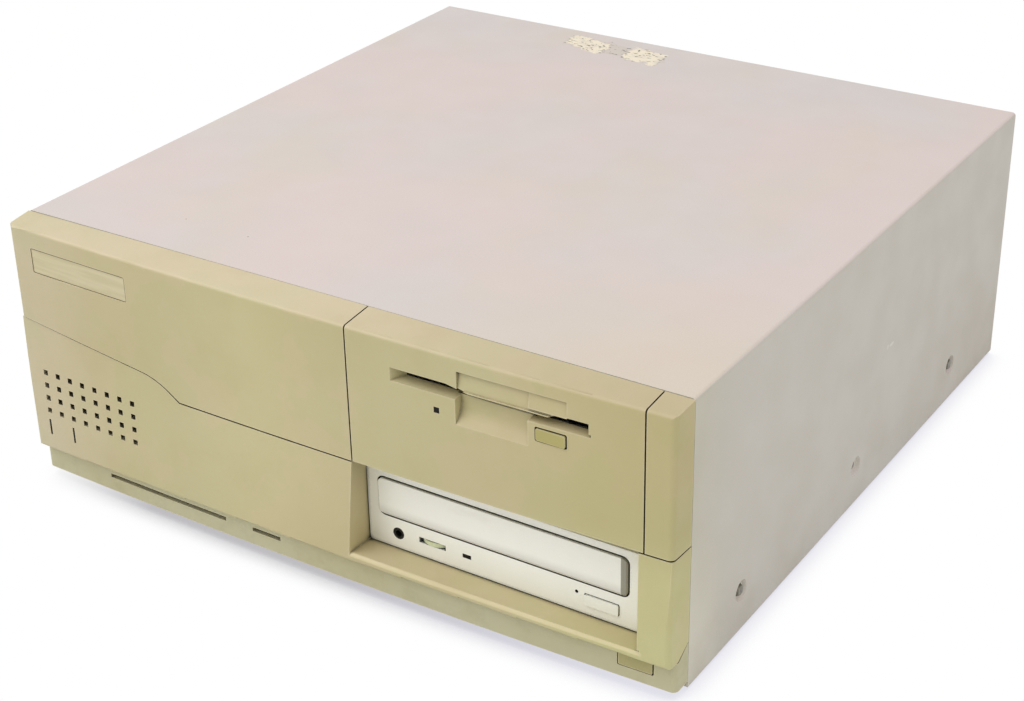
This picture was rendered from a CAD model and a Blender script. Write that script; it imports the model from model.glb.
"""Vintage desktop computer: looks, small dressing pieces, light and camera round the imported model."""

import math

import bmesh
import bpy
from mathutils import Matrix, Vector


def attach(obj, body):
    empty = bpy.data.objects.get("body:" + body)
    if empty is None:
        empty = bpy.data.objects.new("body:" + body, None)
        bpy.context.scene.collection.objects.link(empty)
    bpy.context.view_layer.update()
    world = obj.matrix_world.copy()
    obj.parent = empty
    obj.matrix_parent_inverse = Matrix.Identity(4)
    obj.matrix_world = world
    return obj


# Camera, solved from the photograph
CAMERA_LENS_MM = 69.61
CAMERA_SENSOR_MM = 36.0
CAMERA_PLACE = (0.51667, -0.81247, 0.55177)
CAMERA_RIGHT = (0.84132, 0.54023, -0.01822)
CAMERA_UP = (-0.23995, 0.40346, 0.88298)
CAMERA_BACK = (0.48436, -0.73849, 0.46906)
CAMERA_REACH = 100.0

# Light, floor and the faint shadow round the object
WHITE = (1.0, 1.0, 1.0, 1.0)
SKY_STRENGTH = 0.62
LAMP_TARGET = (0.0, 0.0, 0.1)
KEY_POWER = 20.0
KEY_SIZE = 1.7
KEY_PLACE = (-0.75, -1.25, 1.9)
FILL_POWER = 3.0
FILL_SIZE = 1.2
FILL_PLACE = (1.6, -0.4, 0.9)
FLOOR_REACH = 40.0
FLOOR_GREY = (0.9, 0.9, 0.9, 1.0)
SHADOW_REACH = 0.019
SHADOW_OPENNESS = (0.97, 0.45)
SHADOW_POWER = 2.5
SHADOW_RISE_X = (-0.19, -0.12)
SHADOW_RISE_SHARES = (0.2, 1.0)
SHADOW_FADE_X = (0.0, 0.17)
SHADOW_SHARES = (0.66, 0.36)

# Where the cover's tone changes, each as the place where it starts and where it is full
COVER_FRONT_Y = (-0.13, -0.178)
COVER_FOOT_Z = (0.085, 0.03)
COVER_REAR_Y = (0.06, 0.18)
COVER_REAR_Z = (0.1, 0.02)
COVER_CORNER_X = (0.0, 0.17)
COVER_CORNER_Y = (-0.04, -0.18)
COVER_GRIME_Z = (0.05, 0.006)

# Paper remains on the top: middle, half size and lean of each rectangle
GLUE_PATCH = ((-0.053, 0.1765), (0.034, 0.0085), 0.12)
LEFT_PAPER = ((-0.0735, 0.1785), (0.0125, 0.0085), 0.3)
RIGHT_PAPER = ((-0.0335, 0.1765), (0.0125, 0.0095), 0.25)
PATCH_SOFT = 0.0006
PAPER_WOBBLE = 0.014

# Chip in the paint of the right side
CHIP_PLACE = (0.19, 0.0385, 0.078)
CHIP_RADIUS = 0.0006
CHIP_STRETCH = (1.0, 0.35, 1.0)
RUB_PLACE = (0.19, 0.0335, 0.0784)
RUB_RADIUS = 0.0009
RUB_SOFT = 0.0008

# Where the front mouldings change
BEZEL_LEFT_X = (-0.11, -0.19)
BEZEL_MIDDLE_X = (-0.06, 0.0)
BEZEL_MIDDLE_SOFT = 0.03
BEZEL_RIGHT_X = (0.09, 0.17)
BEZEL_RIGHT_Z = (0.06, 0.09)
BEZEL_TOP_X = (-0.05, 0.19)
BEZEL_CREST_Z = 0.14
BUTTON_CREST_Z = 0.2
CREST_RISE = 0.01
MOULDED_GRIME_Z = (0.03, 0.004)
GRILLE_X = (-0.1775, -0.1155)
GRILLE_Z = (0.0448, 0.0683)
MOUTH_X = (0.0795, 0.1205)
MOUTH_Y = (-0.1902, -0.1897)
MOUTH_Z = (0.1274, 0.1286)
LIP_X = (0.018, 0.1755)
LIP_Z = (0.0244, 0.0262)
SHARP_EDGE = 0.0001
DOOR_FOOT_Z = (0.049, 0.0424)
DOOR_END_X = (0.1574, 0.1578)
DOOR_EDGE = 0.0007

# How far dirt reaches out of corners, seams and pits, and wear in from edges
CORNER_REACH = 0.006
SEAM_REACH = 0.0014
PIT_REACH = 0.004
DRIVE_SEAM_REACH = 0.0016
WHEEL_RIB_REACH = 0.0012
SCREW_DRIVE_REACH = 0.002
GEAR_TOOTH_REACH = 0.001
SOCKET_REACH = 0.002
COVER_EDGE = 0.0015
MOULDED_EDGE = 0.0012
DRIVE_EDGE = 0.0006
BARE_EDGE = 0.0005
FINE_EDGE = 0.0004

# Bare plate in the recess of the upper left panel
BOW_RADIUS = 5.01583
PLATE_X = (-0.17538, -0.11162)
PLATE_Y = -0.19575
PLATE_Z = (0.12512, 0.13838)
PLATE_SHADE = 0.00035
PLATE_CORNER = 0.0009
PLATE_CORNER_STEPS = 6
PLATE_THICK = 0.0005

# Felt strip behind the floppy panel
STRIP_X = (0.0825, 0.1185)
STRIP_Y = (-0.1878, -0.1871)
STRIP_Z = (0.1195, 0.1277)
STRIP_WEAR = 0.0002
STRIP_STEPS = 24
STRIP_SCALLOPS = 6

# Ribs of the ribbon cables, as a scale of the wave texture
RIBBON_RIBS = 31.25

# Rear ports: the middle of each wide one with the sleeves in its rows, and the round ones
CONTACT_ROWS = ((-0.1455, (12, 13)), (-0.1005, (12, 13)), (-0.0635, (7, 8)))
CONTACT_Z = (0.0182, 0.021)
CONTACT_PITCH = 0.0023
CONTACT_Y = (0.19205, 0.19255)
CONTACT_RADII = (0.0007, 0.00035)
CONTACT_SIDES = 8
PORT_CORE_Z = (0.0159, 0.0233)
PORT_CORE_DEPTH = 0.0003
WIDE_PORTS_X = (-0.0495, -0.051)
ROUND_PORTS_X = (-0.043, -0.0205)
ROUND_PORT_Z = 0.0207
ROUND_PORT_RADIUS = 0.0045


def linear(value):
    """One channel of an 8-bit screen colour as the value that a shader takes."""
    share = value / 255.0
    if share <= 0.04045:
        return share / 12.92
    return ((share + 0.055) / 1.055) ** 2.4


def tone(red, green, blue):
    """An 8-bit screen colour as the colour that a shader takes."""
    return (linear(red), linear(green), linear(blue), 1.0)


BEZEL_MIDDLE = tone(206, 195, 151)
BEZEL_GREENISH = tone(190, 190, 142)
BEZEL_PINKISH = tone(210, 192, 158)
BEZEL_BROWN = tone(186, 172, 124)
DRIVE_WHITES = (tone(255, 254, 244), tone(251, 250, 239))
SHADOW_LEFT = tone(140, 136, 144)
SHADOW_RIGHT = tone(146, 142, 182)


class Surface:
    """A procedural material; most methods add nodes and return the socket that holds the result."""

    def __init__(self, name, roughness=0.5, metallic=0.0, specular=0.5):
        self.material = bpy.data.materials.new(name)
        self.material.use_nodes = True
        self.tree = self.material.node_tree
        self.shader = self.tree.nodes["Principled BSDF"]
        self.shader.inputs["Roughness"].default_value = roughness
        self.shader.inputs["Metallic"].default_value = metallic
        self.shader.inputs["Specular IOR Level"].default_value = specular
        self.place = self.node("ShaderNodeTexCoord").outputs["Object"]

    def node(self, kind, **settings):
        """A new node of a kind, with its settings."""
        made = self.tree.nodes.new(kind)
        for name, value in settings.items():
            setattr(made, name, value)
        return made

    def feed(self, socket, value):
        """Links a value to a socket, or writes it there where it is a constant."""
        if isinstance(value, bpy.types.NodeSocket):
            self.tree.links.new(value, socket)
        else:
            socket.default_value = value

    def stretched(self, x, y, z):
        """The place with each axis multiplied."""
        made = self.node("ShaderNodeVectorMath", operation="MULTIPLY")
        self.feed(made.inputs[0], self.place)
        made.inputs[1].default_value = (x, y, z)
        return made.outputs[0]

    def noise(self, scale, detail=2.0, rough=0.5, place=None):
        """Clouds from 0 to 1, finer with a larger scale."""
        made = self.node("ShaderNodeTexNoise")
        self.feed(made.inputs["Vector"], place or self.place)
        made.inputs["Scale"].default_value = scale
        made.inputs["Detail"].default_value = detail
        made.inputs["Roughness"].default_value = rough
        return made.outputs["Fac"]

    def cells(self, scale, output="Distance"):
        """The distance to the nearest point of a scatter, or a colour that each point has."""
        made = self.node("ShaderNodeTexVoronoi")
        self.feed(made.inputs["Vector"], self.place)
        made.inputs["Scale"].default_value = scale
        return made.outputs[output]

    def waves(self, scale, axis, **settings):
        """The node of even waves along an axis, or as other settings of the texture say."""
        made = self.node("ShaderNodeTexWave", bands_direction=axis, **settings)
        self.feed(made.inputs["Vector"], self.place)
        made.inputs["Scale"].default_value = scale
        return made

    def along(self, axis):
        """How far along one axis a point is, in metres."""
        split = self.node("ShaderNodeSeparateXYZ")
        self.feed(split.inputs[0], self.place)
        return split.outputs[axis]

    def facing(self, axis):
        """How much a face looks along one axis, from -1 to 1."""
        turned = self.node("ShaderNodeVectorTransform", vector_type="NORMAL",
                           convert_from="WORLD", convert_to="OBJECT")
        self.feed(turned.inputs[0], self.node("ShaderNodeNewGeometry").outputs["Normal"])
        split = self.node("ShaderNodeSeparateXYZ")
        self.feed(split.inputs[0], turned.outputs[0])
        return split.outputs[axis]

    def spot(self, place, radius, soft, stretch=(1.0, 1.0, 1.0)):
        """1 within a radius of a point, falling off over soft."""
        offset = self.node("ShaderNodeVectorMath", operation="SUBTRACT")
        self.feed(offset.inputs[0], self.place)
        offset.inputs[1].default_value = place
        scaled = self.node("ShaderNodeVectorMath", operation="MULTIPLY")
        self.feed(scaled.inputs[0], offset.outputs[0])
        scaled.inputs[1].default_value = stretch
        length = self.node("ShaderNodeVectorMath", operation="LENGTH")
        self.feed(length.inputs[0], scaled.outputs[0])
        return self.remap(length.outputs["Value"], radius + soft, radius)

    def shaken(self, scale, reach):
        """The place moved about by a noise, so that an edge drawn from it is ragged."""
        wobble = self.node("ShaderNodeTexNoise")
        self.feed(wobble.inputs["Vector"], self.place)
        wobble.inputs["Scale"].default_value = scale
        wobble.inputs["Detail"].default_value = 4.0
        centred = self.node("ShaderNodeVectorMath", operation="SUBTRACT")
        self.feed(centred.inputs[0], wobble.outputs["Color"])
        centred.inputs[1].default_value = (0.5, 0.5, 0.5)
        moved = self.node("ShaderNodeVectorMath", operation="MULTIPLY_ADD")
        self.feed(moved.inputs[0], centred.outputs[0])
        moved.inputs[1].default_value = (reach, reach, 0.0)
        self.feed(moved.inputs[2], self.place)
        return moved.outputs[0]

    def worn(self, radius):
        """1 on convex and concave edges, 0 on flat faces."""
        bevel = self.node("ShaderNodeBevel", samples=6)
        bevel.inputs["Radius"].default_value = radius
        dot = self.node("ShaderNodeVectorMath", operation="DOT_PRODUCT")
        self.feed(dot.inputs[0], bevel.outputs[0])
        self.feed(dot.inputs[1], self.node("ShaderNodeNewGeometry").outputs["Normal"])
        return self.remap(dot.outputs["Value"], 0.995, 0.8)

    def openness(self, distance, samples=6):
        """1 in the open, less where other faces are within a distance."""
        shade = self.node("ShaderNodeAmbientOcclusion", samples=samples)
        shade.inputs["Distance"].default_value = distance
        return shade.outputs["AO"]

    def buried(self, distance):
        """1 where a point is shut in by what is near it, 0 in the open."""
        return self.remap(self.openness(distance), 0.85, 0.25)

    def pit(self, distance):
        """1 only deep inside a narrow gap or a small hole."""
        return self.remap(self.openness(distance), 0.56, 0.36)

    def remap(self, value, low, high, to_low=0.0, to_high=1.0, kind="SMOOTHSTEP"):
        """A value from low to high as one from to_low to to_high, kept within them."""
        made = self.node("ShaderNodeMapRange", interpolation_type=kind)
        self.feed(made.inputs["Value"], value)
        made.inputs["From Min"].default_value = low
        made.inputs["From Max"].default_value = high
        made.inputs["To Min"].default_value = to_low
        made.inputs["To Max"].default_value = to_high
        return made.outputs["Result"]

    def ramp(self, value, low, high, to_low=0.0, to_high=1.0):
        """The same as remap in a straight line."""
        return self.remap(value, low, high, to_low, to_high, "LINEAR")

    def reckon(self, operation, first, second):
        """What one operation makes of two values."""
        made = self.node("ShaderNodeMath", operation=operation)
        self.feed(made.inputs[0], first)
        self.feed(made.inputs[1], second)
        return made.outputs[0]

    def plus(self, first, second):
        return self.reckon("ADD", first, second)

    def minus(self, first, second):
        return self.reckon("SUBTRACT", first, second)

    def times(self, first, second):
        return self.reckon("MULTIPLY", first, second)

    def larger(self, first, second):
        return self.reckon("MAXIMUM", first, second)

    def mix(self, share, first, second):
        """The first colour at a share of 0, the second at 1."""
        made = self.node("ShaderNodeMix", data_type="RGBA")
        self.feed(made.inputs[0], share)
        self.feed(made.inputs[6], first)
        self.feed(made.inputs[7], second)
        return made.outputs[2]

    def colour(self, value):
        self.feed(self.shader.inputs["Base Color"], value)

    def roughness(self, value):
        self.feed(self.shader.inputs["Roughness"], value)

    def bump(self, height, strength, distance, under=None):
        """Relief on the face, over an earlier one where under names it."""
        made = self.node("ShaderNodeBump")
        made.inputs["Strength"].default_value = strength
        made.inputs["Distance"].default_value = distance
        self.feed(made.inputs["Height"], height)
        if under is not None:
            self.feed(made.inputs["Normal"], under)
        self.feed(self.shader.inputs["Normal"], made.outputs["Normal"])
        return made.outputs["Normal"]


def between(surface, value, low, high, soft):
    """1 where value lies from low to high, falling off over soft."""
    rise = surface.remap(value, low - soft, low + soft)
    fall = surface.remap(value, high + soft, high - soft)
    return surface.times(rise, fall)


def patch(skin, place, middle, half, lean):
    """1 inside a leaning rectangle drawn from a shaken place."""
    split = skin.node("ShaderNodeSeparateXYZ")
    skin.feed(split.inputs[0], place)
    x = skin.plus(split.outputs[0], -middle[0])
    y = skin.plus(skin.plus(split.outputs[1], -middle[1]), skin.times(x, lean))
    across = between(skin, x, -half[0], half[0], PATCH_SOFT)
    return skin.times(across, between(skin, y, -half[1], half[1], PATCH_SOFT))


def cover_tints(skin):
    """The cover's own colour: pinkish grey, yellower down the sides and towards the front."""
    drift = skin.remap(skin.noise(7.0, 3.0), 0.35, 0.65)
    base = skin.mix(drift, tone(229, 213, 208), tone(223, 214, 210))
    patches = skin.remap(skin.noise(16.0, 4.0, place=skin.stretched(1.0, 0.6, 1.0)), 0.48, 0.7)
    base = skin.mix(skin.times(patches, 0.5), base, tone(225, 213, 197))
    upright = skin.remap(skin.facing("Z"), 0.85, 0.3)
    base = skin.mix(upright, base, tone(209, 203, 192))
    front = skin.times(skin.remap(skin.along("Y"), *COVER_FRONT_Y), upright)
    base = skin.mix(front, base, tone(202, 197, 179))
    foot = skin.times(front, skin.remap(skin.along("Z"), *COVER_FOOT_Z))
    base = skin.mix(foot, base, tone(216, 211, 194))
    rear = skin.times(skin.remap(skin.along("Y"), *COVER_REAR_Y),
                      skin.remap(skin.along("Z"), *COVER_REAR_Z))
    base = skin.mix(skin.times(skin.times(rear, upright), 0.6), base, tone(200, 192, 178))
    corner = skin.times(skin.remap(skin.along("Y"), *COVER_CORNER_Y),
                        skin.remap(skin.along("X"), *COVER_CORNER_X))
    level = skin.remap(upright, 0.5, 0.0)
    return skin.mix(skin.times(skin.times(corner, 0.75), level), base, tone(226, 212, 192))


def cover_dirt(skin, base):
    """Grime low on the cover, a fine grain and a few dark specks."""
    low = skin.remap(skin.along("Z"), *COVER_GRIME_Z)
    grime = skin.times(low, skin.remap(skin.noise(30.0, 5.0), 0.4, 0.75))
    base = skin.mix(skin.times(grime, 0.2), base, tone(168, 160, 140))
    grain = skin.noise(1500.0, 2.0)
    base = skin.mix(skin.remap(grain, 0.3, 0.75, 0.0, 0.14), base, tone(188, 176, 168))
    specks = skin.remap(skin.cells(55.0), 0.035, 0.02)
    chosen = skin.remap(skin.cells(55.0, "Color"), 0.82, 0.86)
    return skin.mix(skin.times(skin.times(specks, chosen), 0.55), base, tone(120, 108, 96))


def paper_remains(skin, base):
    """Two torn bits of paper on old glue near the back of the top: the colour with them, and
    how far they stand up."""
    level = skin.remap(skin.facing("Z"), 0.9, 0.97)
    ragged = skin.shaken(130.0, PAPER_WOBBLE)
    glue = skin.times(patch(skin, ragged, *GLUE_PATCH), level)
    base = skin.mix(skin.times(glue, 0.3), base, tone(206, 196, 172))
    torn = skin.larger(patch(skin, ragged, *LEFT_PAPER), patch(skin, ragged, *RIGHT_PAPER))
    torn = skin.times(torn, level)
    patchy = skin.remap(skin.noise(190.0, 3.0), 0.3, 0.55, 0.5, 1.0)
    base = skin.mix(skin.times(torn, patchy), base, tone(252, 240, 216))
    dashes = skin.noise(260.0, 2.0, place=skin.stretched(1.0, 2.6, 1.0))
    rim = skin.times(glue, skin.remap(torn, 0.8, 0.2))
    flecks = skin.times(skin.remap(dashes, 0.6, 0.64), skin.larger(rim, torn))
    base = skin.mix(skin.times(flecks, 0.9), base, tone(46, 40, 32))
    return base, skin.minus(torn, flecks)


def cover_wear(skin, base):
    """A chip with a rub beside it on the right side, and edges rubbed pale."""
    chip = skin.spot(CHIP_PLACE, CHIP_RADIUS, CHIP_RADIUS, CHIP_STRETCH)
    rub = skin.spot(RUB_PLACE, RUB_RADIUS, RUB_SOFT)
    chipped = skin.larger(chip, skin.times(rub, 0.6))
    base = skin.mix(skin.times(chipped, 0.4), base, tone(244, 242, 238))
    rubbed = skin.times(skin.worn(COVER_EDGE), skin.remap(skin.noise(90.0, 4.0), 0.35, 0.7))
    return skin.mix(skin.times(rubbed, 0.5), base, tone(232, 224, 212))


def cover_paint():
    """Baked paint on sheet steel, stained and specked, with paper remains on its top."""
    skin = Surface("cover_paint", roughness=0.5, specular=0.3)
    base, paper_height = paper_remains(skin, cover_dirt(skin, cover_tints(skin)))
    skin.colour(cover_wear(skin, base))
    skin.roughness(skin.remap(skin.noise(40.0, 3.0), 0.3, 0.7, 0.42, 0.6))
    orange_peel = skin.bump(skin.noise(650.0, 2.0), 0.25, 0.0002)
    paper_edge = skin.bump(paper_height, 0.6, 0.0002, under=orange_peel)
    skin.bump(skin.noise(5.0, 1.0), 0.15, 0.002, under=paper_edge)
    return skin.material


def bezel_tones(skin, face, pale, ends):
    """The lower bezel's face and top tones, which change from its left end to its right."""
    left, low_right, high_right, top_right = ends
    face = skin.mix(skin.remap(skin.along("X"), *BEZEL_LEFT_X), face, left)
    middle = between(skin, skin.along("X"), *BEZEL_MIDDLE_X, BEZEL_MIDDLE_SOFT)
    face = skin.mix(middle, face, BEZEL_MIDDLE)
    right = skin.mix(skin.remap(skin.along("Z"), *BEZEL_RIGHT_Z), low_right, high_right)
    face = skin.mix(skin.remap(skin.along("X"), *BEZEL_RIGHT_X), face, right)
    return face, skin.mix(skin.remap(skin.along("X"), *BEZEL_TOP_X), pale, top_right)


def bezel_marks(skin, base):
    """Greenish and pinkish patches, dark grille holes and disk mouth, and a pale bay lip."""
    drift = skin.remap(skin.noise(19.0, 4.0, 0.6), 0.46, 0.54)
    base = skin.mix(0.16, base, skin.mix(drift, BEZEL_GREENISH, BEZEL_PINKISH))
    holed = skin.reckon("GREATER_THAN", skin.facing("Y"), -0.6)
    for axis, ends in (("X", GRILLE_X), ("Z", GRILLE_Z)):
        holed = skin.times(holed, between(skin, skin.along(axis), *ends, SHARP_EDGE))
    mouth = skin.times(between(skin, skin.along("Z"), *MOUTH_Z, SHARP_EDGE),
                       between(skin, skin.along("X"), *MOUTH_X, SHARP_EDGE * 4))
    mouth = skin.times(mouth, skin.remap(skin.along("Y"), *MOUTH_Y))
    dark = skin.larger(skin.times(holed, 0.97), skin.times(mouth, 0.95))
    base = skin.mix(dark, base, tone(14, 12, 8))
    lip = skin.times(between(skin, skin.along("Z"), *LIP_Z, SHARP_EDGE * 5),
                     between(skin, skin.along("X"), *LIP_X, SHARP_EDGE * 10))
    rounded = skin.remap(skin.facing("Z"), 0.98, 0.9)
    return skin.mix(skin.times(skin.times(lip, rounded), 0.5), base, tone(240, 226, 184))


def moulded_dirt(skin, base):
    """Dirt in corners and gaps and low down, and edges rubbed pale."""
    uneven = skin.remap(skin.noise(120.0, 4.0), 0.2, 0.7, 0.4, 1.0)
    dirt = skin.times(skin.buried(CORNER_REACH), uneven)
    base = skin.mix(skin.times(dirt, 0.36), base, tone(104, 92, 52))
    base = skin.mix(skin.times(skin.buried(SEAM_REACH), 0.6), base, tone(60, 50, 28))
    base = skin.mix(skin.times(skin.pit(PIT_REACH), 0.97), base, tone(12, 10, 6))
    low = skin.remap(skin.along("Z"), *MOULDED_GRIME_Z)
    grime = skin.times(low, skin.remap(skin.noise(70.0, 5.0, 0.6), 0.48, 0.72))
    base = skin.mix(skin.times(grime, 0.25), base, tone(150, 144, 104))
    uneven = skin.remap(skin.noise(110.0, 4.0), 0.3, 0.65, 0.3, 1.0)
    rubbed = skin.times(skin.worn(MOULDED_EDGE), uneven)
    return skin.mix(skin.times(rubbed, 0.55), base, tone(234, 222, 190))


def moulded(name, face, pale, brown, crest_z, ends=None):
    """Yellowed moulded plastic: spark-eroded grain, paler tops, browner patches and dirty corners.
    Only the lower bezel has ends: its tones at the left, low right and high right, and of its top
    at the right."""
    skin = Surface(name, roughness=0.55, specular=0.35)
    if ends is not None:
        face, pale = bezel_tones(skin, face, pale, ends)
    aged = skin.remap(skin.noise(9.0, 3.0), 0.3, 0.7)
    base = skin.mix(skin.times(aged, 0.35), face, brown)
    up = skin.remap(skin.facing("Z"), 0.15, 0.75)
    crest = skin.remap(skin.along("Z"), crest_z - CREST_RISE, crest_z)
    base = skin.mix(skin.times(up, skin.plus(0.45, skin.times(crest, 0.55))), base, pale)
    if ends is not None:
        base = bezel_marks(skin, base)
    blotches = skin.remap(skin.noise(26.0, 5.0, 0.6), 0.45, 0.75)
    base = moulded_dirt(skin, skin.mix(skin.times(blotches, 0.22), base, brown))
    grain = skin.noise(2200.0, 2.0)
    skin.colour(skin.mix(skin.remap(grain, 0.3, 0.75, 0.0, 0.10), base, brown))
    skin.roughness(skin.remap(skin.noise(60.0, 3.0), 0.3, 0.7, 0.48, 0.66))
    texture = skin.bump(grain, 0.3, 0.00012)
    skin.bump(skin.noise(8.0, 1.0), 0.12, 0.002, under=texture)
    return skin.material


def drive_plastic(name, face, shade, rim=None):
    """Whiter plastic of the newer drive, finely matt, with faint rubs and dust in its corners.
    Only the tray door has a rim, the tone of its edges; its foot and right end are shaded too."""
    skin = Surface(name, roughness=0.45, specular=0.4)
    base = skin.mix(skin.remap(skin.noise(18.0, 3.0), 0.3, 0.7), face, shade)
    dust = skin.times(skin.buried(DRIVE_SEAM_REACH), 0.7)
    base = skin.mix(dust, base, tone(88, 84, 72))
    base = skin.mix(skin.times(skin.pit(PIT_REACH), 0.97), base, tone(10, 9, 8))
    rubs = skin.remap(skin.noise(60.0, 5.0, place=skin.stretched(0.25, 1.0, 1.0)), 0.6, 0.75)
    base = skin.mix(skin.times(rubs, 0.25), base, tone(226, 222, 208))
    if rim is None:
        base = skin.mix(skin.times(skin.worn(DRIVE_EDGE), 0.3), base, tone(250, 249, 244))
    else:
        base = skin.mix(skin.times(skin.worn(DOOR_EDGE), 0.75), base, rim)
        below = skin.remap(skin.along("Z"), *DOOR_FOOT_Z, 0.0, 0.42)
        base = skin.mix(below, base, tone(176, 172, 160))
        beside = skin.remap(skin.along("X"), *DOOR_END_X, 0.0, 0.9)
        base = skin.mix(beside, base, tone(140, 136, 120))
    grain = skin.noise(3000.0, 1.0)
    base = skin.mix(skin.remap(grain, 0.35, 0.75, 0.0, 0.05), base, tone(186, 182, 170))
    skin.colour(base)
    skin.roughness(skin.remap(skin.noise(80.0, 3.0), 0.3, 0.7, 0.38, 0.52))
    skin.bump(grain, 0.2, 0.00008)
    return skin.material


def wheel_plastic():
    """Pale green-cream thumb wheel, greasy at its ribs."""
    skin = Surface("wheel_plastic", roughness=0.4, specular=0.5)
    base = skin.mix(skin.remap(skin.noise(260.0, 3.0), 0.35, 0.65), tone(226, 232, 196),
                    tone(208, 214, 170))
    skin.colour(skin.mix(skin.times(skin.buried(WHEEL_RIB_REACH), 0.8), base, tone(70, 72, 44)))
    skin.roughness(skin.remap(skin.noise(400.0, 2.0), 0.3, 0.7, 0.3, 0.5))
    skin.bump(skin.noise(2400.0, 1.0), 0.15, 0.00006)
    return skin.material


def smoked_lens():
    """Dark lens moulding that hides an unlit lamp."""
    skin = Surface("smoked_lens", roughness=0.5, specular=0.2)
    clouds = skin.remap(skin.noise(420.0, 3.0), 0.3, 0.7)
    skin.colour(skin.mix(clouds, tone(8, 7, 5), tone(18, 14, 9)))
    skin.roughness(skin.remap(clouds, 0.0, 1.0, 0.4, 0.6))
    skin.bump(skin.noise(1500.0, 2.0), 0.08, 0.00008)
    return skin.material


def dark_plastic(name="dark_plastic", face=(34, 32, 30), lift=(58, 55, 50), edge=(92, 88, 82)):
    """Dark moulded plastic with pale dust and rubbed edges."""
    skin = Surface(name, roughness=0.5, specular=0.4)
    dust = skin.remap(skin.noise(45.0, 5.0, 0.65), 0.4, 0.8)
    base = skin.mix(dust, tone(*face), tone(*lift))
    base = skin.mix(skin.times(skin.worn(FINE_EDGE), 0.4), base, tone(*edge))
    skin.colour(base)
    skin.roughness(skin.remap(dust, 0.0, 1.0, 0.4, 0.75))
    skin.bump(skin.noise(2600.0, 1.0), 0.2, 0.00008)
    return skin.material


def clear_plastic():
    """Tinted lens moulding, smoky green, with frosted clouds."""
    skin = Surface("clear_plastic", roughness=0.22, specular=0.5)
    clouds = skin.remap(skin.noise(220.0, 3.0), 0.3, 0.7)
    skin.colour(skin.mix(clouds, tone(96, 100, 70), tone(132, 134, 98)))
    skin.shader.inputs["Transmission Weight"].default_value = 0.45
    skin.shader.inputs["IOR"].default_value = 1.49
    skin.roughness(skin.remap(clouds, 0.0, 1.0, 0.16, 0.34))
    skin.bump(skin.noise(900.0, 2.0), 0.1, 0.0001)
    return skin.material


def sheet_steel(name, face, bright, roughness):
    """Zinc-coated sheet: flat spangles, rolling lines and a few tarnished patches."""
    skin = Surface(name, roughness=roughness, metallic=0.9)
    spangle = skin.cells(430.0, "Color")
    base = skin.mix(skin.remap(spangle, 0.2, 0.8, 0.15, 0.75), face, bright)
    lines = skin.noise(60.0, 3.0, place=skin.stretched(1.0, 30.0, 1.0))
    base = skin.mix(skin.remap(lines, 0.4, 0.8, 0.0, 0.35), base, tone(140, 139, 134))
    tarnish = skin.remap(skin.noise(14.0, 5.0, 0.6), 0.55, 0.78)
    base = skin.mix(skin.times(tarnish, 0.5), base, tone(126, 118, 100))
    base = skin.mix(skin.times(skin.worn(BARE_EDGE), 0.5), base, tone(222, 220, 214))
    skin.colour(base)
    skin.roughness(skin.remap(spangle, 0.2, 0.8, roughness - 0.1, roughness + 0.12))
    skin.bump(lines, 0.12, 0.0001)
    return skin.material


def port_metal():
    """Bright tinned shells; the sockets' bores and the wide ports' inner faces are dark insulator."""
    skin = Surface("port_metal", roughness=0.32, metallic=0.9)
    tarnish = skin.remap(skin.noise(240.0, 4.0), 0.35, 0.7)
    tinned = skin.mix(tarnish, tone(190, 188, 180), tone(168, 165, 154))
    tinned = skin.mix(skin.times(skin.worn(FINE_EDGE), 0.5), tinned, tone(226, 224, 216))
    core_y = (CONTACT_Y[0] - PORT_CORE_DEPTH, CONTACT_Y[0])
    dark = skin.times(between(skin, skin.along("Y"), *core_y, SHARP_EDGE),
                      skin.remap(skin.facing("Y"), 0.8, 0.95))
    dark = skin.times(dark, between(skin, skin.along("Z"), *PORT_CORE_Z, SHARP_EDGE))
    dark = skin.times(dark, skin.remap(skin.along("X"), *WIDE_PORTS_X))
    for x in ROUND_PORTS_X:
        bore = skin.spot((x, 0.0, ROUND_PORT_Z), ROUND_PORT_RADIUS, SHARP_EDGE, (1.0, 0.0, 1.0))
        dark = skin.larger(dark, bore)
    insulator = skin.mix(skin.noise(900.0, 3.0), tone(24, 24, 26), tone(52, 52, 54))
    skin.colour(skin.mix(dark, tinned, insulator))
    skin.feed(skin.shader.inputs["Metallic"], skin.minus(0.9, skin.times(dark, 0.9)))
    skin.roughness(skin.plus(0.3, skin.times(dark, 0.25)))
    skin.bump(skin.noise(1600.0, 2.0), 0.1, 0.00006)
    return skin.material


def plated_screw():
    """Zinc-plated screws, dulled, dirty in their drives and here and there rusty."""
    skin = Surface("screw_steel", roughness=0.32, metallic=1.0)
    base = skin.mix(skin.remap(skin.noise(300.0, 4.0), 0.35, 0.7), tone(122, 117, 104),
                    tone(88, 83, 70))
    rust = skin.remap(skin.noise(520.0, 5.0, 0.7), 0.62, 0.72)
    base = skin.mix(skin.times(rust, 0.7), base, tone(104, 70, 44))
    base = skin.mix(skin.times(skin.buried(SCREW_DRIVE_REACH), 0.6), base, tone(52, 46, 36))
    skin.colour(base)
    skin.roughness(skin.remap(rust, 0.0, 1.0, 0.28, 0.7))
    skin.bump(skin.noise(1400.0, 2.0), 0.15, 0.0001)
    return skin.material


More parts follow.
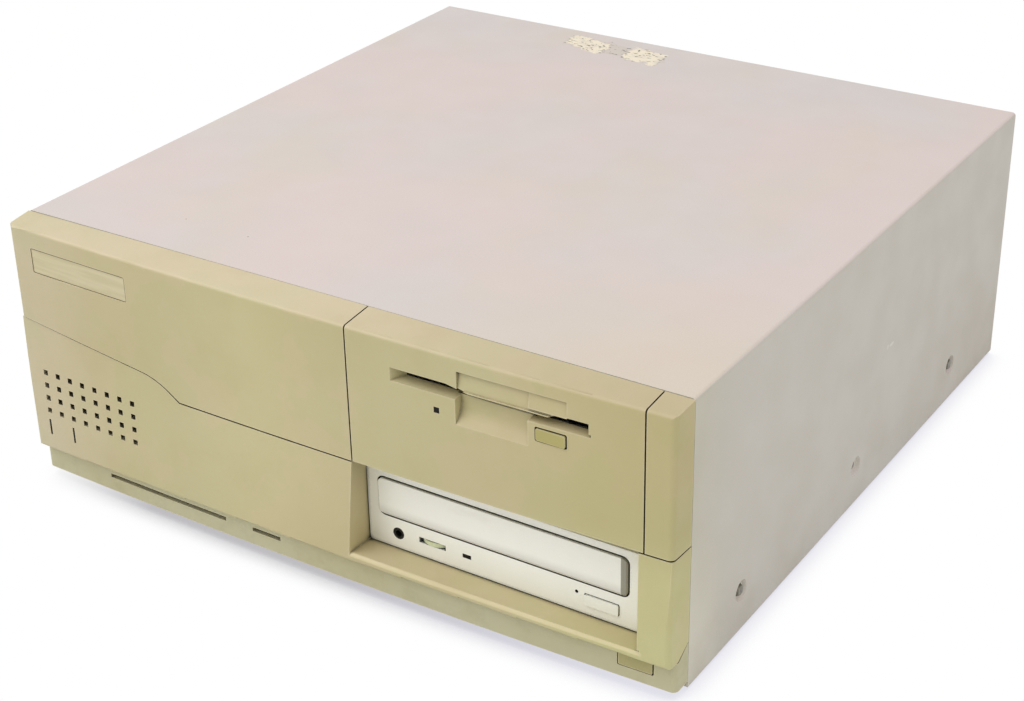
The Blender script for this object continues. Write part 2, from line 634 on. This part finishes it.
def turned_steel():
    """Lathe-turned steel: close rings and a thin film of oil."""
    skin = Surface("turned_steel", roughness=0.22, metallic=1.0)
    rings = skin.waves(900.0, "X", wave_type="RINGS", rings_direction="SPHERICAL")
    rings.inputs["Distortion"].default_value = 0.6
    oil = skin.remap(skin.noise(90.0, 3.0), 0.4, 0.7)
    base = skin.mix(oil, tone(206, 206, 204), tone(176, 170, 156))
    skin.colour(skin.mix(skin.times(rings.outputs["Fac"], 0.18), base, tone(120, 120, 120)))
    skin.roughness(skin.remap(oil, 0.0, 1.0, 0.2, 0.34))
    skin.bump(rings.outputs["Fac"], 0.06, 0.00005)
    return skin.material


def cast_aluminium():
    """Grainy casting with brighter edges."""
    skin = Surface("cast_aluminium", roughness=0.45, metallic=0.95)
    grain = skin.noise(700.0, 4.0, 0.6)
    base = skin.mix(skin.remap(grain, 0.3, 0.7), tone(178, 178, 180), tone(206, 206, 206))
    base = skin.mix(skin.times(skin.worn(BARE_EDGE), 0.6), base, tone(232, 232, 230))
    skin.colour(base)
    skin.roughness(skin.remap(grain, 0.3, 0.7, 0.36, 0.56))
    skin.bump(grain, 0.25, 0.0002)
    return skin.material


def circuit_board():
    """Green lacquered board: tracks on a grid, a scatter of bare pads and dusty patches."""
    skin = Surface("circuit_board", roughness=0.3, specular=0.5)
    across = skin.waves(110.0, "X").outputs["Fac"]
    along = skin.waves(90.0, "Y").outputs["Fac"]
    region = skin.remap(skin.cells(38.0, "Color"), 0.48, 0.52)
    tracks = skin.mix(region, across, along)
    lit = skin.remap(tracks, 0.62, 0.72)
    base = skin.mix(skin.times(lit, 0.7), tone(28, 78, 48), tone(46, 112, 66))
    pads = skin.remap(skin.cells(260.0), 0.16, 0.12)
    base = skin.mix(pads, base, tone(196, 190, 170))
    base = skin.mix(skin.remap(skin.noise(30.0, 4.0), 0.5, 0.8, 0.0, 0.25), base, tone(118, 116, 92))
    skin.colour(base)
    skin.roughness(skin.remap(skin.noise(120.0, 3.0), 0.3, 0.7, 0.24, 0.42))
    skin.bump(skin.plus(lit, pads), 0.3, 0.00006)
    return skin.material


def rubber():
    """Black rubber, dulled by dust."""
    skin = Surface("foot_rubber", roughness=0.8, specular=0.3)
    dust = skin.remap(skin.noise(160.0, 5.0, 0.65), 0.4, 0.75)
    skin.colour(skin.mix(dust, tone(38, 37, 36), tone(78, 75, 70)))
    skin.roughness(skin.remap(dust, 0.0, 1.0, 0.7, 0.92))
    skin.bump(skin.noise(1200.0, 3.0), 0.35, 0.0002)
    return skin.material


def speaker_paper():
    """Pressed black pulp with loose fibres."""
    skin = Surface("speaker_paper", roughness=0.9, specular=0.2)
    fibres = skin.noise(700.0, 5.0, 0.7, place=skin.stretched(1.0, 1.0, 3.0))
    skin.colour(skin.mix(skin.remap(fibres, 0.4, 0.7), tone(26, 25, 25), tone(64, 61, 58)))
    skin.roughness(skin.remap(fibres, 0.3, 0.7, 0.82, 0.96))
    skin.bump(fibres, 0.5, 0.0003)
    return skin.material


def nylon():
    """Milky gear plastic with patches of brown grease."""
    skin = Surface("gear_plastic", roughness=0.35, specular=0.5)
    grease = skin.remap(skin.noise(130.0, 4.0), 0.5, 0.7)
    base = skin.mix(skin.times(grease, 0.5), tone(226, 222, 208), tone(190, 178, 142))
    skin.colour(skin.mix(skin.times(skin.buried(GEAR_TOOTH_REACH), 0.5), base, tone(130, 118, 88)))
    skin.shader.inputs["Subsurface Weight"].default_value = 0.1
    skin.shader.inputs["Subsurface Radius"].default_value = (0.001, 0.0008, 0.0006)
    skin.roughness(skin.remap(grease, 0.0, 1.0, 0.38, 0.2))
    skin.bump(skin.noise(1100.0, 2.0), 0.1, 0.0001)
    return skin.material


def tray_plastic():
    """Dark grey tray, streaked lengthways and pale at its edges."""
    skin = Surface("tray_plastic", roughness=0.5, specular=0.4)
    streaks = skin.noise(80.0, 4.0, place=skin.stretched(1.0, 0.15, 1.0))
    base = skin.mix(skin.remap(streaks, 0.35, 0.7), tone(62, 62, 64), tone(82, 81, 82))
    base = skin.mix(skin.times(skin.worn(BARE_EDGE), 0.5), base, tone(124, 123, 122))
    skin.colour(base)
    skin.roughness(skin.remap(streaks, 0.3, 0.7, 0.42, 0.6))
    skin.bump(skin.noise(2400.0, 1.0), 0.25, 0.0001)
    return skin.material


def lead_insulation():
    """Yellow insulation of the drive's power lead, soiled in patches."""
    skin = Surface("lead_insulation", roughness=0.4, specular=0.5)
    shift = skin.remap(skin.noise(50.0, 2.0), 0.3, 0.7)
    yellow = skin.mix(shift, tone(214, 178, 40), tone(190, 156, 40))
    soil = skin.remap(skin.noise(300.0, 4.0), 0.55, 0.75)
    skin.colour(skin.mix(soil, yellow, tone(150, 128, 60)))
    skin.roughness(skin.remap(skin.noise(90.0, 2.0), 0.3, 0.7, 0.34, 0.5))
    skin.bump(skin.noise(800.0, 2.0), 0.15, 0.0001)
    return skin.material


def socket_plastic():
    """Cream socket moulding, dirty in its hollows."""
    skin = Surface("socket_plastic", roughness=0.42, specular=0.5)
    base = skin.mix(skin.remap(skin.noise(50.0, 3.0), 0.3, 0.7), tone(214, 204, 172),
                    tone(198, 186, 150))
    skin.colour(skin.mix(skin.times(skin.buried(SOCKET_REACH), 0.6), base, tone(110, 98, 70)))
    skin.roughness(skin.remap(skin.noise(100.0, 2.0), 0.3, 0.7, 0.36, 0.52))
    skin.bump(skin.noise(1800.0, 1.0), 0.15, 0.0001)
    return skin.material


def chip_package():
    """Black moulded package, matt and grainy."""
    skin = Surface("chip_package", roughness=0.55, specular=0.4)
    grain = skin.noise(1600.0, 3.0)
    base = skin.mix(skin.remap(grain, 0.35, 0.7), tone(36, 36, 38), tone(52, 52, 54))
    skin.colour(skin.mix(skin.times(skin.worn(FINE_EDGE), 0.5), base, tone(90, 90, 92)))
    skin.roughness(skin.remap(grain, 0.3, 0.7, 0.48, 0.66))
    skin.bump(grain, 0.3, 0.0001)
    return skin.material


def ribbon_insulation():
    """Grey ribbed ribbon, yellower in patches."""
    skin = Surface("ribbon_insulation", roughness=0.45, specular=0.4)
    ribs = skin.waves(2.0 * math.pi * RIBBON_RIBS, "X").outputs["Fac"]
    base = skin.mix(skin.times(ribs, 0.5), tone(176, 176, 172), tone(140, 140, 138))
    base = skin.mix(skin.remap(skin.noise(25.0, 3.0), 0.45, 0.75, 0.0, 0.4), base, tone(150, 144, 128))
    skin.colour(base)
    skin.roughness(skin.remap(ribs, 0.0, 1.0, 0.4, 0.55))
    skin.bump(ribs, 0.6, 0.0003)
    return skin.material


def make_finishes():
    """Every material slot of the record and the material that dresses it."""
    bezel = (tone(200, 190, 148), tone(222, 208, 176), BEZEL_BROWN)
    bezel_ends = (tone(209, 199, 172), tone(209, 204, 150), tone(191, 180, 130),
                  tone(202, 187, 150))
    plinth = (tone(198, 195, 162), tone(212, 206, 172), BEZEL_BROWN)
    zinc = (tone(176, 176, 172), tone(196, 196, 192))
    return {
        "cover_paint": cover_paint(),
        "bezel_plastic": moulded("bezel_plastic", *bezel, BEZEL_CREST_Z, bezel_ends),
        "plinth_plastic": moulded("plinth_plastic", *plinth, BEZEL_CREST_Z),
        "drive_plastic": drive_plastic("drive_plastic", *DRIVE_WHITES),
        "dark_plastic": dark_plastic(),
        "clear_plastic": clear_plastic(),
        "pressed_steel": sheet_steel("pressed_steel", *zinc, 0.42),
        "port_shell": port_metal(),
        "screw_steel": plated_screw(),
        "turned_steel": turned_steel(),
        "cast_aluminium": cast_aluminium(),
        "circuit_board": circuit_board(),
        "foot_rubber": rubber(),
        "speaker_paper": speaker_paper(),
        "gear_plastic": nylon(),
        "tray_plastic": tray_plastic(),
        "lead_insulation": lead_insulation(),
        "socket_plastic": socket_plastic(),
        "chip_package": chip_package(),
        "ribbon_insulation": ribbon_insulation(),
    }


def make_specials():
    """Nodes whose own tone differs from the rest of their slot."""
    olive_pale = tone(206, 196, 142)
    olive_brown = tone(160, 150, 92)
    eject = (tone(184, 174, 112), olive_pale, olive_brown)
    power = (tone(182, 174, 124), olive_pale, olive_brown)
    return {
        "floppy_eject_button": moulded("eject_button", *eject, BUTTON_CREST_Z),
        "power_button": moulded("power_button", *power, BUTTON_CREST_Z),
        "cd_volume_wheel": wheel_plastic(),
        "lamp_windows": smoked_lens(),
        "cd_tray_door": drive_plastic("door_plastic", *DRIVE_WHITES, tone(150, 146, 134)),
        "cd_eject_button": drive_plastic("button_plastic", *DRIVE_WHITES),
        "floppy_flap": dark_plastic("flap_plastic", (26, 22, 15), (44, 38, 27), (50, 44, 32)),
        "cd_headphone_jack": dark_plastic("jack_plastic", (5, 5, 5), (12, 12, 12), (20, 20, 20)),
    }


def dress(frame, finishes, special):
    """Gives every CAD node its slot's material, or its own where special names one."""
    for name, node in frame["nodes"].items():
        for holder in node.material_slots:
            holder.material = special.get(name, finishes[holder.material.name])


def add_mesh(name, builder, material, body="housing"):
    """Turns a filled bmesh into a piece that rides on a body."""
    mesh = bpy.data.meshes.new(name)
    builder.to_mesh(mesh)
    builder.free()
    piece = bpy.data.objects.new(name, mesh)
    bpy.context.collection.objects.link(piece)
    mesh.materials.append(material)
    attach(piece, body)
    return piece


def bow(x):
    """How far the bowed front has gone back at a distance from its middle, in metres."""
    return BOW_RADIUS - math.sqrt(BOW_RADIUS ** 2 - x ** 2)


def join_rows(builder, first, second):
    """A closed band of faces between two rows of as many points."""
    for index in range(len(first)):
        after = (index + 1) % len(first)
        builder.faces.new((first[index], first[after], second[after], second[index]))


def rounded_rectangle(left, right, bottom, top, radius):
    """The points round a rectangle, counterclockwise from its right side."""
    points = []
    middles = ((right - radius, top - radius), (left + radius, top - radius),
               (left + radius, bottom + radius), (right - radius, bottom + radius))
    for quarter, (x, z) in enumerate(middles):
        for step in range(PLATE_CORNER_STEPS + 1):
            turn = math.radians(90) * (quarter + step / PLATE_CORNER_STEPS)
            points.append((x + radius * math.cos(turn), z + radius * math.sin(turn)))
    return points


def plate_finish():
    """Bare painted plate: beige, finely brushed along its length, dirty under its top and right rim."""
    skin = Surface("plate_paint", roughness=0.38, specular=0.5)
    brushed = skin.noise(260.0, 3.0, place=skin.stretched(0.12, 1.0, 2.4))
    base = skin.mix(skin.remap(brushed, 0.35, 0.7), tone(210, 199, 162), tone(202, 191, 152))
    stains = skin.remap(skin.noise(70.0, 5.0, 0.6), 0.5, 0.75)
    base = skin.mix(skin.times(stains, 0.25), base, tone(176, 162, 122))
    top = skin.remap(skin.along("Z"), PLATE_Z[1] - PLATE_SHADE * 2, PLATE_Z[1] - PLATE_SHADE)
    right = skin.remap(skin.along("X"), PLATE_X[1] - PLATE_SHADE * 2, PLATE_X[1] - PLATE_SHADE)
    dirt = skin.times(skin.larger(top, right), 0.85)
    skin.colour(skin.mix(dirt, base, tone(70, 60, 40)))
    skin.roughness(skin.remap(brushed, 0.3, 0.7, 0.42, 0.54))
    skin.bump(brushed, 0.15, 0.00006)
    return skin.material


def add_plate():
    """Thin rounded plate lying in the recess of the upper left panel, following its bow."""
    builder = bmesh.new()
    front = []
    back = []
    for x, z in rounded_rectangle(*PLATE_X, *PLATE_Z, PLATE_CORNER):
        y = PLATE_Y + bow(x)
        front.append(builder.verts.new((x, y, z)))
        back.append(builder.verts.new((x, y + PLATE_THICK, z)))
    builder.faces.new(front)
    builder.faces.new(back[::-1])
    join_rows(builder, back, front)
    bmesh.ops.recalc_face_normals(builder, faces=builder.faces)
    edges = [edge for edge in builder.edges if all(vert in front for vert in edge.verts)]
    bmesh.ops.bevel(builder, geom=edges, offset=PLATE_THICK / 3, segments=2, affect="EDGES")
    return add_mesh("bare_plate", builder, plate_finish())


def felt():
    """Dark felt, flattened and dusty."""
    skin = Surface("dust_felt", roughness=0.95, specular=0.1)
    fibres = skin.noise(1500.0, 4.0, 0.7)
    skin.colour(skin.mix(skin.remap(fibres, 0.35, 0.7), tone(20, 17, 12), tone(38, 33, 25)))
    skin.roughness(skin.remap(fibres, 0.3, 0.7, 0.88, 1.0))
    skin.bump(fibres, 0.5, 0.0002)
    return skin.material


def add_dust_strip():
    """Felt strip between the floppy panel and its drive, under the drive's mouth; its long upper
    edge is worn into low scallops by disks."""
    builder = bmesh.new()
    front, back = STRIP_Y
    foot = STRIP_Z[0]
    rows = []
    for step in range(STRIP_STEPS + 1):
        share = step / STRIP_STEPS
        x = STRIP_X[0] + (STRIP_X[1] - STRIP_X[0]) * share
        top = STRIP_Z[1] - STRIP_WEAR * math.sin(math.pi * share * STRIP_SCALLOPS) ** 2
        corners = ((front, foot), (front, top), (back, top), (back, foot))
        rows.append([builder.verts.new((x, y, z)) for y, z in corners])
    for first, second in zip(rows, rows[1:]):
        join_rows(builder, first, second)
    builder.faces.new(rows[0][::-1])
    builder.faces.new(rows[-1])
    bmesh.ops.recalc_face_normals(builder, faces=builder.faces)
    return add_mesh("dust_strip", builder, felt())


def contact_brass():
    """Brass sleeves, gilded thinly and dulled."""
    skin = Surface("contact_brass", roughness=0.3, metallic=1.0)
    dull = skin.remap(skin.noise(900.0, 3.0), 0.35, 0.7)
    skin.colour(skin.mix(dull, tone(206, 168, 84), tone(126, 100, 56)))
    skin.roughness(skin.remap(dull, 0.0, 1.0, 0.24, 0.5))
    skin.bump(skin.noise(2500.0, 1.0), 0.1, 0.00004)
    return skin.material


def add_sleeve(builder, x, z):
    """One hollow contact sleeve with its axis along Y."""
    low, high = CONTACT_Y
    outer, bore = CONTACT_RADII
    rings = []
    for y, radius in ((low, outer), (high, outer), (high, bore), (low, bore)):
        ring = []
        for side in range(CONTACT_SIDES):
            turn = math.radians(360) * side / CONTACT_SIDES
            ring.append(builder.verts.new((x + radius * math.cos(turn), y,
                                           z + radius * math.sin(turn))))
        rings.append(ring)
    for first, second in zip(rings, rings[1:] + rings[:1]):
        join_rows(builder, first, second)


def add_contacts():
    """Two rows of sleeves on the face of each wide rear port."""
    builder = bmesh.new()
    for middle, counts in CONTACT_ROWS:
        for count, height in zip(counts, CONTACT_Z):
            for place in range(count):
                offset = (place - (count - 1) / 2) * CONTACT_PITCH
                add_sleeve(builder, middle + offset, height)
    bmesh.ops.recalc_face_normals(builder, faces=builder.faces)
    return add_mesh("port_contacts", builder, contact_brass())


def place_camera():
    """The photograph's camera."""
    data = bpy.data.cameras.new("camera")
    data.lens = CAMERA_LENS_MM
    data.sensor_width = CAMERA_SENSOR_MM
    data.clip_end = CAMERA_REACH
    camera = bpy.data.objects.new("camera", data)
    bpy.context.collection.objects.link(camera)
    axes = Matrix((CAMERA_RIGHT, CAMERA_UP, CAMERA_BACK)).transposed().to_4x4()
    camera.matrix_world = Matrix.Translation(CAMERA_PLACE) @ axes
    bpy.context.scene.camera = camera


def add_lamp(name, place, size, power):
    """Round area lamp that looks at the object."""
    data = bpy.data.lights.new(name, "AREA")
    data.shape = "DISK"
    data.size = size
    data.energy = power
    lamp = bpy.data.objects.new(name, data)
    lamp.location = place
    aim = Vector(LAMP_TARGET) - Vector(place)
    lamp.rotation_euler = aim.to_track_quat("-Z", "Y").to_euler()
    bpy.context.collection.objects.link(lamp)


def seen_ray(tree):
    """1 for rays that look at the backdrop, straight or by way of metal or glass."""
    path = tree.nodes.new("ShaderNodeLightPath")
    total = path.outputs["Is Camera Ray"]
    for name in ("Is Glossy Ray", "Is Transmission Ray"):
        adder = tree.nodes.new("ShaderNodeMath")
        adder.operation = "MAXIMUM"
        tree.links.new(total, adder.inputs[0])
        tree.links.new(path.outputs[name], adder.inputs[1])
        total = adder.outputs[0]
    return total


def choose_shader(tree, lighting, seen, output):
    """Gives an output one shader for the light and another for rays that look at the backdrop."""
    choose = tree.nodes.new("ShaderNodeMixShader")
    tree.links.new(seen_ray(tree), choose.inputs["Fac"])
    tree.links.new(lighting.outputs[0], choose.inputs[1])
    tree.links.new(seen.outputs[0], choose.inputs[2])
    tree.links.new(choose.outputs[0], tree.nodes[output].inputs["Surface"])


def set_world():
    """An even sky that is white to the camera."""
    world = bpy.data.worlds.new("studio")
    bpy.context.scene.world = world
    world.use_nodes = True
    tree = world.node_tree
    plain = tree.nodes["Background"]
    plain.inputs["Color"].default_value = WHITE
    plain.inputs["Strength"].default_value = SKY_STRENGTH
    white = tree.nodes.new("ShaderNodeBackground")
    white.inputs["Color"].default_value = WHITE
    white.inputs["Strength"].default_value = 1.0
    choose_shader(tree, plain, white, "World Output")


def floor_finish():
    """Pale sheet that the camera sees as white, but for a faint cool shadow near the object. The
    shadow is strongest a little right of the left end and fades and turns bluer rightwards."""
    sheet = Surface("floor_sheet", roughness=0.9, specular=0.0)
    sheet.colour(FLOOR_GREY)
    near = sheet.ramp(sheet.openness(SHADOW_REACH, 8), *SHADOW_OPENNESS)
    rightwards = sheet.ramp(sheet.along("X"), *SHADOW_FADE_X)
    fade = sheet.ramp(rightwards, 0.0, 1.0, *SHADOW_SHARES)
    rise = sheet.ramp(sheet.along("X"), *SHADOW_RISE_X, *SHADOW_RISE_SHARES)
    share = sheet.times(sheet.reckon("POWER", near, SHADOW_POWER), sheet.times(fade, rise))
    shadow = sheet.mix(rightwards, SHADOW_LEFT, SHADOW_RIGHT)
    seen = sheet.node("ShaderNodeEmission")
    sheet.feed(seen.inputs["Color"], sheet.mix(share, WHITE, shadow))
    choose_shader(sheet.tree, sheet.shader, seen, "Material Output")
    return sheet.material


def add_floor():
    """Wide flat sheet under the object."""
    builder = bmesh.new()
    reach = FLOOR_REACH / 2
    corners = ((-reach, -reach), (reach, -reach), (reach, reach), (-reach, reach))
    builder.faces.new([builder.verts.new((x, y, 0.0)) for x, y in corners])
    mesh = bpy.data.meshes.new("floor")
    builder.to_mesh(mesh)
    builder.free()
    floor = bpy.data.objects.new("floor", mesh)
    bpy.context.collection.objects.link(floor)
    mesh.materials.append(floor_finish())


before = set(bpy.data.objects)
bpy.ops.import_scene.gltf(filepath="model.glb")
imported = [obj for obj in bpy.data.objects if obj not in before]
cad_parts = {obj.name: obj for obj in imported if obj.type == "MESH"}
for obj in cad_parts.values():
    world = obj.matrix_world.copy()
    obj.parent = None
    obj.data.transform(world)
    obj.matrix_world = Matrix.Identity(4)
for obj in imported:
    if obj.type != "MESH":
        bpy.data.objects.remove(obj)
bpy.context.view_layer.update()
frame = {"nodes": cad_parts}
bpy.context.scene.view_settings.view_transform = "Standard"
place_camera()
set_world()
add_floor()
add_lamp("key", KEY_PLACE, KEY_SIZE, KEY_POWER)
add_lamp("fill", FILL_PLACE, FILL_SIZE, FILL_POWER)

finishes = make_finishes()
dress(frame, finishes, make_specials())
add_plate()
add_dust_strip()
add_contacts()
